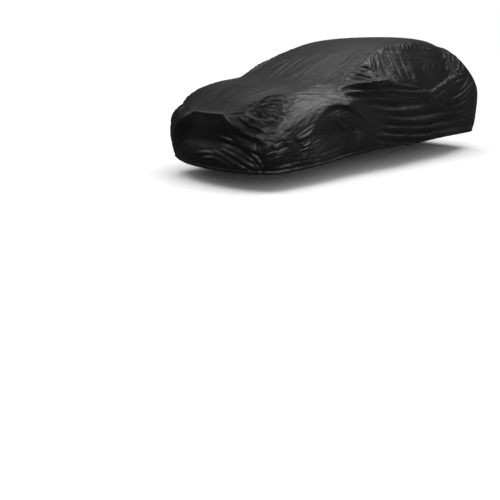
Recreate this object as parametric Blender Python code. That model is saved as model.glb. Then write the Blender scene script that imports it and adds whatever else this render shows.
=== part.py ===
"""A fitted cover of thin black polyester with a drawn hem, held out in its worn shape, in metres.

It is cut as three panels: a long strip from the front hem over the crown to the back hem, and two
sides. The strip and each side are sewn along one seam, which runs up the front corner, back along the
deck, up the rake, along the crown and down the back corner. The cover is hollow underneath.

The tables give heights above the ground and distances back from the middle of the length. The nose
points along -Y, and the model's origin is the rest that carries the crown from inside.
"""

import math
from functools import partial

import bmesh
import bpy
import numpy as np
from mathutils import Vector

# ---------------------------------------------------------------- sizes

SHEET = 0.002  # thickness of the cloth
SEAM_GAP = 0.0003  # between two panels that are sewn together
REST = (0.0, 0.35, 1.436)  # the rest under the crown, in the tables' frame

LENGTH_CUTS = 31  # facets of a side panel from front to back
HEIGHT_CUTS = 24  # facets of a side panel from seam to hem
STRIP_CUTS = 10  # facets across the strip

# ---------------------------------------------------------------- the form

CENTRE_LINE = [  # back, height of the strip's middle
    (-2.45, 0.58), (-2.27, 0.73), (-2.10, 0.85), (-1.80, 0.95), (-1.50, 0.995), (-1.28, 1.035),
    (-1.10, 1.09), (-0.85, 1.185), (-0.55, 1.29), (-0.25, 1.375), (0.05, 1.42), (0.35, 1.44),
    (0.65, 1.435), (0.95, 1.405), (1.25, 1.345), (1.50, 1.25), (1.75, 1.10), (2.00, 0.90), (2.30, 0.62),
]  # fmt: skip
NOSE_LINE = [  # height, back
    (0.05, -2.24), (0.17, -2.29), (0.30, -2.335), (0.50, -2.35), (0.62, -2.325), (0.72, -2.265),
    (0.80, -2.18), (0.90, -2.03), (1.10, -1.70), (1.50, -1.20),
]  # fmt: skip
TAIL_LINE = [  # height, back
    (0.05, 2.00), (0.20, 2.04), (0.40, 2.09), (0.65, 2.10), (0.85, 2.07), (1.00, 2.00), (1.20, 1.83),
    (1.50, 1.50),
]  # fmt: skip
PLAN_LINE = [  # back, half width where it is widest
    (-2.40, 0.72), (-2.15, 0.785), (-1.90, 0.84), (-1.60, 0.88), (-1.20, 0.895), (-0.60, 0.90),
    (0.20, 0.90), (0.90, 0.885), (1.40, 0.855), (1.75, 0.805), (2.00, 0.74), (2.30, 0.65),
]  # fmt: skip
SECTION_LINE = [  # height, share of the half width
    (0.05, 0.90), (0.16, 0.94), (0.30, 0.985), (0.50, 1.0), (0.70, 0.995), (0.85, 0.97), (0.95, 0.935),
    (1.05, 0.885), (1.20, 0.80), (1.35, 0.70), (1.45, 0.62), (1.60, 0.52),
]  # fmt: skip
CROWN_DROP = 0.09  # how much lower the top is 1 m from its middle
SHOULDER = {"out": 0.50, "drop": 1.5, "whole": -1.30, "none": -0.70}  # the deck's sides slope down to the arches
NOSE_SWEEP = 0.36  # how much further back the nose is 1 m from its middle
TAIL_SWEEP = 0.16
SCREEN_SWEEP = 0.16  # the same for the foot of the rake, at SCREEN_FOOT
SCREEN_FOOT, SCREEN_REACH = -0.80, 0.70
BACK_SWEEP = -0.12  # the same for the slope down to the tail, at BACK_FOOT
BACK_FOOT, BACK_REACH = 1.80, 0.50
TOP_LEAN = 0.9  # the top's rise against the depth below it, where the sides are 1
EDGE_ROUND = 0.035  # how softly the four sides run into each other
HEART = ((-0.25, -1.60, 0.0), (0.25, 1.50, 0.55))  # a box deep inside, which the form is star-shaped about

# ---------------------------------------------------------------- cut lines, as (out, back, height)

FRONT_CORNER = [(0.66, -2.20, 0.18), (0.64, -2.22, 0.48), (0.47, -2.14, 0.80)]
LONG_SEAM = [
    (0.47, -2.14, 0.80), (0.50, -1.95, 0.88), (0.53, -1.72, 0.93), (0.565, -1.42, 0.985),
    (0.64, -1.16, 1.02), (0.69, -0.98, 1.06), (0.665, -0.78, 1.14), (0.61, -0.42, 1.27),
    (0.58, -0.12, 1.36), (0.57, 0.35, 1.41), (0.56, 0.85, 1.40), (0.55, 1.30, 1.31),
    (0.56, 1.65, 1.14), (0.60, 1.88, 0.96),
]  # fmt: skip
BACK_CORNER = [(0.60, 1.88, 0.96), (0.63, 2.00, 0.76), (0.64, 2.01, 0.50), (0.62, 1.97, 0.22)]
SIDE_HEM = [
    (0.66, -2.20, 0.18), (0.77, -2.05, 0.185), (0.83, -1.70, 0.20), (0.85, -1.20, 0.235),
    (0.86, -0.60, 0.265), (0.86, 0.10, 0.265), (0.85, 0.90, 0.26), (0.82, 1.45, 0.25),
    (0.75, 1.80, 0.235), (0.62, 1.97, 0.22),
]  # fmt: skip
NOSE_MIDDLE = [(0.0, -2.29, 0.17), (0.0, -2.35, 0.48), (0.0, -2.22, 0.78)]
DECK_AND_CROWN_MIDDLE = [
    (0.0, -2.22, 0.78), (0.0, -1.80, 0.95), (0.0, -1.28, 1.035), (0.0, -0.85, 1.185),
    (0.0, -0.25, 1.375), (0.0, 0.35, 1.44), (0.0, 0.95, 1.405), (0.0, 1.50, 1.25), (0.0, 1.93, 0.98),
]  # fmt: skip
TAIL_MIDDLE = [(0.0, 1.93, 0.98), (0.0, 2.08, 0.80), (0.0, 2.10, 0.50), (0.0, 2.04, 0.21)]

# ---------------------------------------------------------------- hollows, tents and folds

SOFT = 0.035  # how far the edge of a hollow takes to fade

# Across the nose the cloth is stretched flat from the deck's edge to the hem, below "top".
NOSE_HOLLOW = {"top": 0.71, "back": -1.95, "half_width": 0.25, "flare": 0.75, "depth": 0.015, "fade": 0.30}
CORNER_HOLLOW = {"at": (0.70, -2.06, 0.755), "reach": (0.17, 0.17, 0.07), "depth": 0.03}
ARCH_HOLLOW = {"at": (-1.26, 0.33), "out": 0.66, "radius": 0.44, "depth": 0.055, "ends": 0.22, "full": 0.50}
SIDE_HOLLOW = {"foot": (-0.95, 1.03), "head": (-0.05, 1.36), "sill": 0.93, "back": 1.15, "depth": 0.022}
EAR = {"at": (-0.69, 0.95), "out": 0.13, "ahead": 0.26, "behind": 0.36, "above": 0.12, "below": 0.055}

SIDE_FOLDS = [  # back and height of start, middle and end, width, height of the fold
    (-1.05, 0.90, -0.56, 0.895, 0.21, 0.85, 0.045, -0.034),
    (-1.17, 0.85, -0.58, 0.83, 0.30, 0.80, 0.045, 0.016),
    (-0.75, 0.76, -0.09, 0.72, 0.38, 0.76, 0.045, -0.022),
    (-0.61, 0.66, 0.30, 0.62, 1.06, 0.69, 0.045, 0.022),
    (-0.45, 0.50, 0.50, 0.46, 1.55, 0.56, 0.045, 0.024),
    (-0.62, 0.38, 0.30, 0.335, 1.73, 0.39, 0.040, 0.024),
    (0.36, 0.78, 0.72, 0.89, 1.34, 1.03, 0.045, 0.018),
    (1.03, 0.69, 1.36, 0.82, 1.75, 0.95, 0.035, 0.016),
    (1.10, 0.60, 1.36, 0.70, 1.70, 0.78, 0.035, 0.014),
    (-0.43, 1.25, -0.36, 1.12, -0.24, 0.96, 0.055, -0.016),
    (-0.32, 1.28, -0.24, 1.09, -0.10, 0.93, 0.060, 0.018),
    (-0.05, 1.30, 0.06, 1.11, 0.22, 0.90, 0.060, 0.018),
    (0.91, 1.16, 0.97, 1.06, 1.01, 0.98, 0.070, 0.016),
]  # fmt: skip
NOSE_FOLDS = [  # out and height of start, middle and end, width, height of the fold
    (0.33, 0.70, 0.52, 0.59, 0.66, 0.55, 0.055, 0.014),
    (0.26, 0.50, 0.43, 0.44, 0.58, 0.36, 0.055, 0.018),
    (0.30, 0.36, 0.45, 0.30, 0.60, 0.22, 0.055, 0.016),
]


def smooth_line(table):
    """A smooth curve through a table of two columns, as a function of the first."""
    at, value = np.array(table, float).T
    slope = np.gradient(value, at)

    def line(q):
        q = np.clip(q, at[0], at[-1])
        k = np.clip(np.searchsorted(at, q) - 1, 0, len(at) - 2)
        step = at[k + 1] - at[k]
        s = (q - at[k]) / step
        start = value[k] * (1 + 2 * s) + slope[k] * step * s
        end = value[k + 1] * (3 - 2 * s) - slope[k + 1] * step * (1 - s)
        return start * (1 - s) ** 2 + end * s**2

    return line


centre_line, nose_line, tail_line = map(smooth_line, (CENTRE_LINE, NOSE_LINE, TAIL_LINE))
plan_line, section_line = map(smooth_line, (PLAN_LINE, SECTION_LINE))


def smooth_path(points):
    """A smooth curve in space through the points, as a function of 0 to 1 along its length."""
    points = np.array(points, float)
    steps = np.linalg.norm(np.diff(points, axis=0), axis=1)
    along = np.append(0.0, np.cumsum(steps)) / steps.sum()
    lines = [smooth_line(np.column_stack([along, column])) for column in points.T]
    return lambda s: np.stack([line(s) for line in lines], axis=-1)


def field(p):
    """Below zero inside the smooth form, above zero outside it."""
    x, y, z = np.moveaxis(p, -1, 0)
    out = np.sqrt(x * x + 1e-6)
    lag = SCREEN_SWEEP * np.exp(-(((y - SCREEN_FOOT) / SCREEN_REACH) ** 2))
    lag = lag + BACK_SWEEP * np.exp(-(((y - BACK_FOOT) / BACK_REACH) ** 2))
    share = np.clip((SHOULDER["none"] - y) / (SHOULDER["none"] - SHOULDER["whole"]), 0, 1)
    slope = SHOULDER["drop"] * share**2 * (3 - 2 * share) * np.maximum(out - SHOULDER["out"], 0) ** 2
    walls = np.stack([
        TOP_LEAN * (z - centre_line(y - lag * x * x) + CROWN_DROP * x * x + slope),
        out - plan_line(y) * section_line(z),
        nose_line(z) + NOSE_SWEEP * x * x - y,
        y - tail_line(z) + TAIL_SWEEP * x * x,
    ])  # fmt: skip
    highest = walls.max(axis=0)
    return highest + EDGE_ROUND * np.log(np.exp((walls - highest) / EDGE_ROUND).sum(axis=0))


def gradient(p, step=1e-4):
    here = field(p)
    return np.stack([(field(p + step * axis) - here) / step for axis in np.eye(3)], axis=-1)


def settle(p):
    """Moves points that lie near the smooth form onto it, straight away from the box in its middle."""
    way = p - np.clip(p, *HEART)
    for _ in range(8):
        p = p - (field(p) / (gradient(p) * way).sum(axis=-1))[..., None] * way
    return p


def outward(p):
    slope = gradient(p)
    return slope / np.linalg.norm(slope, axis=-1, keepdims=True)


def inside(distance):
    """1 well inside an edge, 0 well outside it; distance is positive inside."""
    return 0.5 + 0.5 * np.tanh(distance / SOFT)


def hollows(out, y, z):
    """How far the cloth sinks between what holds it out, as a height below the smooth form."""
    nose = NOSE_HOLLOW
    (hem_z, hem_y), (top_z, top_y) = ((h, nose_line(h)) for h in (SIDE_HEM[0][2], nose["top"]))
    chord = np.interp(z, (hem_z, top_z), (hem_y, top_y))
    half = nose["half_width"] + nose["flare"] * (nose["top"] - z)
    above_hem = np.clip((z - hem_z) / nose["fade"], 0, 1)
    low = (chord - nose_line(z) + nose["depth"]) * above_hem**2 * (3 - 2 * above_hem)
    low = low * inside(nose["top"] - z) * inside(half - out) * inside(nose["back"] - y)
    away = [(v - c) / r for v, c, r in zip((out, y, z), CORNER_HOLLOW["at"], CORNER_HOLLOW["reach"])]
    low += CORNER_HOLLOW["depth"] * np.exp(-sum(a * a for a in away))
    arch = ARCH_HOLLOW
    within = arch["radius"] - np.hypot(y - arch["at"][0], z - arch["at"][1])
    ending = np.clip((z - arch["ends"]) / (arch["full"] - arch["ends"]), 0, 1)
    low += arch["depth"] * ending * inside(within) * inside(out - arch["out"])
    (foot_y, foot_z), (head_y, head_z) = SIDE_HOLLOW["foot"], SIDE_HOLLOW["head"]
    rake = math.atan2(head_z - foot_z, head_y - foot_y)
    below_rake = (y - foot_y) * math.sin(rake) - (z - foot_z) * math.cos(rake)
    pane = inside(below_rake) * inside(head_z - z) * inside(z - SIDE_HOLLOW["sill"])
    return low + SIDE_HOLLOW["depth"] * pane * inside(SIDE_HOLLOW["back"] - y) * inside(out - 0.5)


def ears(out, y, z):
    """The two tents where the cloth stands out at the foot of the rake."""
    back, height = EAR["at"]
    along = (y - back) / np.where(y < back, EAR["ahead"], EAR["behind"])
    upright = (z - height) / np.where(z > height, EAR["above"], EAR["below"])
    return EAR["out"] * inside(out - 0.6) / (1 + along**2 + upright**2) ** 1.5


def fold(p, route, width, height):
    """A soft ridge, or a trough where height is below zero, that fades towards both ends of its route."""
    line = settle(smooth_path(route)(np.linspace(0, 1, 13)))
    best = np.full(p.shape[:-1], np.inf)
    along = np.zeros(p.shape[:-1])
    for k, (start, end) in enumerate(zip(line[:-1], line[1:])):
        run = end - start
        t = np.clip((p - start) @ run / (run @ run), 0, 1)
        away = np.linalg.norm(p - start - t[..., None] * run, axis=-1)
        nearer = away < best
        best = np.where(nearer, away, best)
        along = np.where(nearer, (k + t) / (len(line) - 1), along)
    return height * np.sin(np.pi * np.clip(along, 0.02, 0.98)) ** 0.6 * np.exp(-((best / width) ** 2))


def relief(p):
    """How far the cloth lies above the smooth form at the points p of that form."""
    mirrored = p.copy()
    mirrored[..., 0] = np.abs(p[..., 0])
    out, y, z = np.moveaxis(mirrored, -1, 0)
    height = ears(out, y, z) - hollows(out, y, z)
    for y1, z1, y2, z2, y3, z3, width, rise in SIDE_FOLDS:
        route = [(plan_line(b) * section_line(h), b, h) for b, h in ((y1, z1), (y2, z2), (y3, z3))]
        height = height + fold(mirrored, route, width, rise)
    for x1, z1, x2, z2, x3, z3, width, rise in NOSE_FOLDS:
        route = [(a, nose_line(h) + NOSE_SWEEP * a * a, h) for a, h in ((x1, z1), (x2, z2), (x3, z3))]
        height = height + fold(mirrored, route, width, rise)
    return height


def drape(targets):
    """Points on the draped cloth for points near it, and the smooth form's outward direction there."""
    base = settle(targets)
    normal = outward(base)
    return base + relief(base)[..., None] * normal, normal


# ---------------------------------------------------------------- the cut of the panels

front_corner, long_seam, back_corner = map(smooth_path, (FRONT_CORNER, LONG_SEAM, BACK_CORNER))
side_hem = smooth_path(SIDE_HEM)
nose_middle, crown_middle, tail_middle = map(smooth_path, (NOSE_MIDDLE, DECK_AND_CROWN_MIDDLE, TAIL_MIDDLE))

# The facets are closer together forward of the middle, where the cloth turns more.
LENGTH_STATIONS = np.interp(np.linspace(0, 1, LENGTH_CUTS + 1), (0, 0.66, 1), (0, 0.54, 1))
HEIGHT_STATIONS = np.linspace(0, 1, HEIGHT_CUTS + 1)
STRIP_STATIONS = np.concatenate(
    [1 - HEIGHT_STATIONS[::-1], 1 + LENGTH_STATIONS[1:], 2 + HEIGHT_STATIONS[1:]]
)


def side_target(u, w):
    """Near the cloth of a side: u from front to back, w from the seam down to the hem."""
    u, w = u[..., None], w[..., None]
    top, bottom = long_seam(u[..., 0]), side_hem(u[..., 0])
    front, back = front_corner(1 - w[..., 0]), back_corner(w[..., 0])
    corners = (1 - u) * ((1 - w) * long_seam(0.0) + w * side_hem(0.0))
    corners = corners + u * ((1 - w) * long_seam(1.0) + w * side_hem(1.0))
    return (1 - w) * top + w * bottom + (1 - u) * front + u * back - corners


def three_runs(v, *paths):
    """One path after another, for v from 0 to the number of paths."""
    stretch = np.clip(np.floor(v), 0, len(paths) - 1)
    found = [path(np.clip(v - k, 0, 1)) for k, path in enumerate(paths)]
    return sum(np.where((stretch == k)[..., None], run, 0.0) for k, run in enumerate(found))


def strip_target(v, s):
    """Near the cloth of the strip: v from the front hem to the back hem, s from -1 to 1 across it."""
    seam = three_runs(v, front_corner, long_seam, back_corner)
    middle = three_runs(v, nose_middle, crown_middle, tail_middle)
    target = middle + (seam - middle) * (s * s)[..., None]
    target[..., 0] = seam[..., 0] * s
    return target


def side_panel(i, j, mirror):
    """Cloth, outward direction and the way off the seam for a side's grid, numbered from front and seam."""
    u, w = LENGTH_STATIONS[i], HEIGHT_STATIONS[j]
    inner_u = np.clip(u, 0.01, 0.99)
    inner_w = np.maximum(w, 0.01)
    cloth, normal = drape(side_target(u, w))
    off_seam = drape(side_target(inner_u, inner_w))[0] - cloth
    return [part * [mirror, 1.0, 1.0] for part in (cloth, normal, off_seam)]


def strip_panel(i, j):
    """The same for the strip, numbered from its edge on the right and from the front hem."""
    s, v = np.linspace(-1, 1, STRIP_CUTS + 1)[i], STRIP_STATIONS[j]
    cloth, normal = drape(strip_target(v, s))
    off_seam = drape(strip_target(v, np.clip(s, -0.98, 0.98)))[0] - cloth
    return [cloth, normal, off_seam]


def make_panel(name, columns, rows, panel, collection, material):
    """A closed sheet: a grid laid on the cloth, and its copy one thickness further in."""
    shape = bmesh.new()
    bmesh.ops.create_grid(shape, x_segments=columns, y_segments=rows, size=0.5)
    flat = np.array([vertex.co for vertex in shape.verts])
    i = np.rint((flat[:, 0] + 0.5) * columns).astype(int)
    j = np.rint((flat[:, 1] + 0.5) * rows).astype(int)
    cloth, normal, off_seam = panel(i, j)
    length = np.linalg.norm(off_seam, axis=1)
    on_seam = length > 1e-6
    cloth[on_seam] += off_seam[on_seam] / length[on_seam, None] * SEAM_GAP / 2

    number = shape.verts.layers.int.new("number")
    for k, vertex in enumerate(shape.verts):
        vertex[number] = k
        vertex.co = cloth[k] - REST
    shape.normal_update()
    faceted = np.array([vertex.normal for vertex in shape.verts])
    faceted *= np.sign((faceted * normal).sum(axis=1))[:, None]
    # Both panels of a seam take the smooth form's direction there, so that their edges stay parallel.
    inward = -np.where(on_seam[:, None], normal, faceted)
    sides = bmesh.ops.extrude_face_region(shape, geom=shape.faces[:])["geom"]
    for vertex in sides:
        if isinstance(vertex, bmesh.types.BMVert):
            vertex.co += SHEET * Vector(inward[vertex[number]])
    bmesh.ops.recalc_face_normals(shape, faces=shape.faces[:])

    mesh = bpy.data.meshes.new(name)
    shape.to_mesh(mesh)
    shape.free()
    mesh.materials.append(material)
    mesh.shade_smooth()
    mesh.set_sharp_from_angle(angle=math.radians(50))
    piece = bpy.data.objects.new(name, mesh)
    collection.objects.link(piece)
    return piece


def polyester():
    material = bpy.data.materials.new("black_polyester")
    material.use_nodes = True
    shader = material.node_tree.nodes["Principled BSDF"]
    shader.inputs["Base Color"].default_value = (0.018, 0.018, 0.020, 1.0)
    shader.inputs["Roughness"].default_value = 0.5
    return material


def main():
    for thing in list(bpy.data.objects):
        bpy.data.objects.remove(thing, do_unlink=True)
    cover = bpy.data.collections.new("car_cover")
    bpy.context.scene.collection.children.link(cover)
    cloth = polyester()
    make_panel("cover_top", STRIP_CUTS, len(STRIP_STATIONS) - 1, strip_panel, cover, cloth)
    for name, mirror in (("cover_side_left", 1.0), ("cover_side_right", -1.0)):
        make_panel(name, LENGTH_CUTS, HEIGHT_CUTS, partial(side_panel, mirror=mirror), cover, cloth)


main()
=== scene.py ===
"""The looks of a fitted cover of thin black polyester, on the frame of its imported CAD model.

The cover's smooth form is the CAD model's. On it lie the folds that the photograph shows, each
cast onto the form through the photograph's camera, and finer creases, seam puckers and a gathered
hem between them.

Lengths are in metres where nothing else is said. The tables give heights above the ground and
distances back from the middle of the length, as the CAD does; the frame's origin is REST, under
the crown. The nose points along -Y.
"""

import math
from itertools import product

import bmesh
import bpy
import numpy as np
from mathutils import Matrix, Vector


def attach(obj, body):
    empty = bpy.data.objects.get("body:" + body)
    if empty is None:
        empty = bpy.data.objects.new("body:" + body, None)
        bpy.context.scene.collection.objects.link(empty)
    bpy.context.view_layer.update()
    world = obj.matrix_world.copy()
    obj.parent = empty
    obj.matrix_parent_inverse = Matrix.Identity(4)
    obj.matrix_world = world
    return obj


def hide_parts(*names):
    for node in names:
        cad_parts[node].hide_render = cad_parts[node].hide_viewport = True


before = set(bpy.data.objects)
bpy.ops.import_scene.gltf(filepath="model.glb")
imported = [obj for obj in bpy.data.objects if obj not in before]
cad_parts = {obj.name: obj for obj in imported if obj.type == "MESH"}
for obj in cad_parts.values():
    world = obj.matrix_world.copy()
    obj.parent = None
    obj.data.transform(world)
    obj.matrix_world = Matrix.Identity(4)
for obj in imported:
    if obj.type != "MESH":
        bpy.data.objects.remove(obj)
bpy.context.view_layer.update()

# ---------------------------------------------------------------- sizes

REST = (0.0, 0.35, 1.436)  # the rest under the crown, in the tables' frame
MM = 0.001
WITHIN = (0.0, 0.0, -0.8)  # a point inside the cover, in the frame
FLOOR_SIZE = 400
SOFTBOX_AIM = (0.78, -1.5, 0.75)  # the front shoulder, in the tables' frame

LENGTH_CUTS = 620  # facets of a side panel from front to back
HEIGHT_CUTS = 150  # facets of a side panel from seam to hem
STRIP_CUTS = 105  # facets across the strip

# ---------------------------------------------------------------- the form, as in the CAD model

CENTRE_LINE = [  # back, height of the strip's middle
    (-2.45, 0.58), (-2.27, 0.73), (-2.10, 0.85), (-1.80, 0.95), (-1.50, 0.995), (-1.28, 1.035),
    (-1.10, 1.09), (-0.85, 1.185), (-0.55, 1.29), (-0.25, 1.375), (0.05, 1.42), (0.35, 1.44),
    (0.65, 1.435), (0.95, 1.405), (1.25, 1.345), (1.50, 1.25), (1.75, 1.10), (2.00, 0.90),
    (2.30, 0.62),
]  # fmt: skip
NOSE_LINE = [  # height, back
    (0.05, -2.24), (0.17, -2.29), (0.30, -2.335), (0.50, -2.35), (0.62, -2.325), (0.72, -2.265),
    (0.80, -2.18), (0.90, -2.03), (1.10, -1.70), (1.50, -1.20),
]  # fmt: skip
TAIL_LINE = [  # height, back
    (0.05, 2.00), (0.20, 2.04), (0.40, 2.09), (0.65, 2.10), (0.85, 2.07), (1.00, 2.00),
    (1.20, 1.83), (1.50, 1.50),
]  # fmt: skip
PLAN_LINE = [  # back, half width where it is widest
    (-2.40, 0.72), (-2.15, 0.785), (-1.90, 0.84), (-1.60, 0.88), (-1.20, 0.895), (-0.60, 0.90),
    (0.20, 0.90), (0.90, 0.885), (1.40, 0.855), (1.75, 0.805), (2.00, 0.74), (2.30, 0.65),
]  # fmt: skip
SECTION_LINE = [  # height, share of the half width
    (0.05, 0.90), (0.16, 0.94), (0.30, 0.985), (0.50, 1.0), (0.70, 0.995), (0.85, 0.97),
    (0.95, 0.935), (1.05, 0.885), (1.20, 0.80), (1.35, 0.70), (1.45, 0.62), (1.60, 0.52),
]  # fmt: skip
CROWN_DROP = 0.09  # how much lower the top is 1 m from its middle
# The deck's sides slope down to the arches, more steeply further out. The slope is whole in front
# of one distance back, and there is none behind the other.
SHOULDER = {"out": 0.50, "drop": 1.5, "whole": -1.30, "none": -0.70}
NOSE_SWEEP = 0.36  # how much further back the nose is 1 m from its middle
TAIL_SWEEP = 0.16  # how much further forward the tail is there
RAKE_SWEEP = 0.16  # how much further back the rake is there, at its foot
RAKE_FOOT, RAKE_REACH = -0.80, 0.70
BACK_SWEEP = -0.12  # the same for the slope down to the tail
BACK_FOOT, BACK_REACH = 1.80, 0.50
TOP_LEAN = 0.9  # the top's rise against the depth below it, where the sides are 1
EDGE_ROUND = 0.035  # how softly the four sides run into each other
MIDDLE_ROUND = 1e-6  # square metres, which keep the form smooth where its halves meet
HEART = ((-0.25, -1.60, 0.0), (0.25, 1.50, 0.55))  # a box that the form is star-shaped about
SETTLE_ROUNDS = 8

FRONT_CORNER = [(0.66, -2.20, 0.18), (0.64, -2.22, 0.48), (0.47, -2.14, 0.80)]
LONG_SEAM = [
    (0.47, -2.14, 0.80), (0.50, -1.95, 0.88), (0.53, -1.72, 0.93), (0.565, -1.42, 0.985),
    (0.64, -1.16, 1.02), (0.69, -0.98, 1.06), (0.665, -0.78, 1.14), (0.61, -0.42, 1.27),
    (0.58, -0.12, 1.36), (0.57, 0.35, 1.41), (0.56, 0.85, 1.40), (0.55, 1.30, 1.31),
    (0.56, 1.65, 1.14), (0.60, 1.88, 0.96),
]  # fmt: skip
BACK_CORNER = [(0.60, 1.88, 0.96), (0.63, 2.00, 0.76), (0.64, 2.01, 0.50), (0.62, 1.97, 0.22)]
SIDE_HEM = [
    (0.66, -2.20, 0.18), (0.77, -2.05, 0.185), (0.83, -1.70, 0.20), (0.85, -1.20, 0.235),
    (0.86, -0.60, 0.265), (0.86, 0.10, 0.265), (0.85, 0.90, 0.26), (0.82, 1.45, 0.25),
    (0.75, 1.80, 0.235), (0.62, 1.97, 0.22),
]  # fmt: skip
NOSE_MIDDLE = [(0.0, -2.29, 0.17), (0.0, -2.35, 0.48), (0.0, -2.22, 0.78)]
DECK_AND_CROWN_MIDDLE = [
    (0.0, -2.22, 0.78), (0.0, -1.80, 0.95), (0.0, -1.28, 1.035), (0.0, -0.85, 1.185),
    (0.0, -0.25, 1.375), (0.0, 0.35, 1.44), (0.0, 0.95, 1.405), (0.0, 1.50, 1.25),
    (0.0, 1.93, 0.98),
]  # fmt: skip
TAIL_MIDDLE = [(0.0, 1.93, 0.98), (0.0, 2.08, 0.80), (0.0, 2.10, 0.50), (0.0, 2.04, 0.21)]
SEAM_POINTS, CORNER_POINTS = 60, 12  # of the lines that stand for the long seam and a corner's

# ---------------------------------------------------------------- the camera of the photograph

PHOTO_SIZE = 500  # pixels
FOCAL_LENGTH = 600  # pixels
SENSOR = 36.0  # millimetres, Blender's own
EYE = np.array([4.56, -6.14, 1.30])
YAW, PITCH = math.radians(-45.5), math.radians(-18.5)
AHEAD = np.array([
    math.sin(YAW) * math.cos(PITCH),
    math.cos(YAW) * math.cos(PITCH),
    math.sin(PITCH),
])  # fmt: skip
RIGHT = np.array([math.cos(YAW), -math.sin(YAW), 0.0])
UP = np.cross(RIGHT, AHEAD)
SIGHT = (4.5, 9.5, 0.02)  # from where, to where and in what steps a sight line looks for the form
CAST_ROUNDS, CAST_SHARE = 9, 0.7  # how often a cast is put right, and by what share of its error

# ---------------------------------------------------------------- hollows, ears and folds

SOFT = 0.012  # how far the edge of a hollow takes to fade

NOSE_HOLLOW = {
    "top": 0.71, "back": -1.95, "half_width": 0.22, "flare": 0.90, "depth": 0.015, "fade": 0.30,
    "softer": 0.28,  # how much softer its sides get for each metre down
}  # fmt: skip
CORNER_HOLLOW = {"at": (0.70, -2.06, 0.755), "reach": (0.17, 0.17, 0.07), "depth": 0.03}
ARCH_HOLLOW = {
    "at": (-1.26, 0.33), "radius": 0.44, "out": 0.66, "depth": 0.055,
    "bowl": 0.45,  # how much deeper its middle is, as a share of the depth
    "ends": 0.22, "full": 0.50,  # the heights between which it fades out
    "softer": 0.45,  # how much softer its edge gets for each metre back,
    "softer_from": 0.15,  # from this far behind its middle
}  # fmt: skip
SIDE_HOLLOW = {
    "foot": (-0.95, 1.03), "head": (-0.05, 1.36), "back": 1.15, "out": 0.5, "depth": 0.026,
    "soft": 0.035,
    "sill_soft": 0.6,  # as a share of the other edges' softness
}  # fmt: skip
SILL_PIXELS = [
    (345, 84), (372, 82), (400, 85), (418, 88), (429, 91), (439, 87), (450, 79), (463, 74.5),
    (471, 73),
]  # fmt: skip
EAR = {
    "at": (-0.69, 0.95), "out": 0.13, "from": 0.6,
    "ahead": 0.26, "behind": 0.36, "above": 0.12, "below": 0.04,
    "fall": 1.5,  # how fast it falls away outside those reaches
}  # fmt: skip

# Each fold runs through three pixels of the photograph, first to last. Then come its width and its
# height, or its depth where that is below zero, in millimetres.
NOSE_FOLDS = [
    (224.5, 115.0, 234.5, 127.5, 258.8, 137.3, 30, 13),
    (225.0, 125.0, 239.5, 137.0, 262.0, 147.5, 26, -16),
    (219.0, 137.0, 237.0, 143.0, 257.0, 152.5, 16, 12),
    (222.0, 142.5, 237.0, 148.3, 252.0, 157.0, 15, -11),
    (227.0, 146.0, 238.0, 151.5, 252.0, 160.5, 12, 7),
    (222.5, 149.5, 240.0, 159.0, 259.0, 170.5, 15, 14),
    (221.0, 152.5, 238.0, 162.5, 255.0, 171.5, 13, -11),
    (245.0, 153.0, 254.0, 160.5, 261.5, 169.0, 12, -8),
    (249.0, 151.5, 257.5, 159.0, 263.0, 168.5, 13, 11),
    (195.0, 153.6, 209.0, 152.7, 226.0, 161.0, 15, 7),
    (200.0, 158.5, 213.0, 157.5, 232.0, 167.0, 14, 8),
    (212.0, 150.5, 224.0, 155.5, 236.0, 165.0, 12, 6),
    (188.2, 113.2, 182.3, 120.0, 174.5, 127.3, 18, 13),
    (187.5, 117.8, 182.0, 124.5, 175.0, 131.0, 18, -8),
]  # fmt: skip
CORNER_FOLDS = [
    (227.7, 114.5, 237.0, 114.4, 246.8, 113.8, 12, -9),
    (237.0, 117.5, 246.5, 127.0, 262.5, 132.5, 13, -10),
    (242.0, 117.5, 250.5, 125.5, 264.0, 129.5, 15, 10),
    (247.5, 111.5, 251.0, 118.3, 265.0, 122.8, 15, 12),
    (251.5, 112.8, 258.5, 116.3, 269.5, 118.0, 22, -22),
    (270.5, 112.0, 275.0, 115.8, 283.5, 117.6, 12, 11),
    (275.0, 111.3, 279.5, 113.6, 286.0, 115.0, 14, -14),
    (272.3, 118.0, 277.0, 120.0, 284.0, 120.8, 12, -8),
    (266.0, 111.4, 270.0, 110.4, 276.0, 110.4, 12, -9),
    (259.5, 103.6, 274.1, 101.4, 294.1, 104.1, 13, -12),
    (261.4, 108.2, 274.1, 107.0, 292.3, 107.3, 13, -11),
    (281.4, 98.2, 288.0, 98.3, 295.9, 99.1, 12, -9),
    (266.8, 99.1, 277.0, 97.0, 286.8, 96.4, 12, -7),
    (280.0, 112.2, 287.0, 110.8, 295.0, 109.8, 12, -9),
    (283.0, 120.8, 289.0, 120.0, 295.3, 119.1, 12, -6),
    (255.9, 105.5, 265.0, 98.2, 283.2, 92.7, 18, 6),
    (281.0, 136.0, 291.0, 142.0, 301.0, 159.0, 34, 9),
    (293.0, 139.5, 300.5, 147.0, 305.0, 158.0, 26, -10),
    (272.3, 169.0, 292.3, 165.4, 306.8, 161.6, 14, 8),
    (301.0, 164.6, 312.0, 161.6, 325.0, 158.1, 13, 7),
]  # fmt: skip
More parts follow.
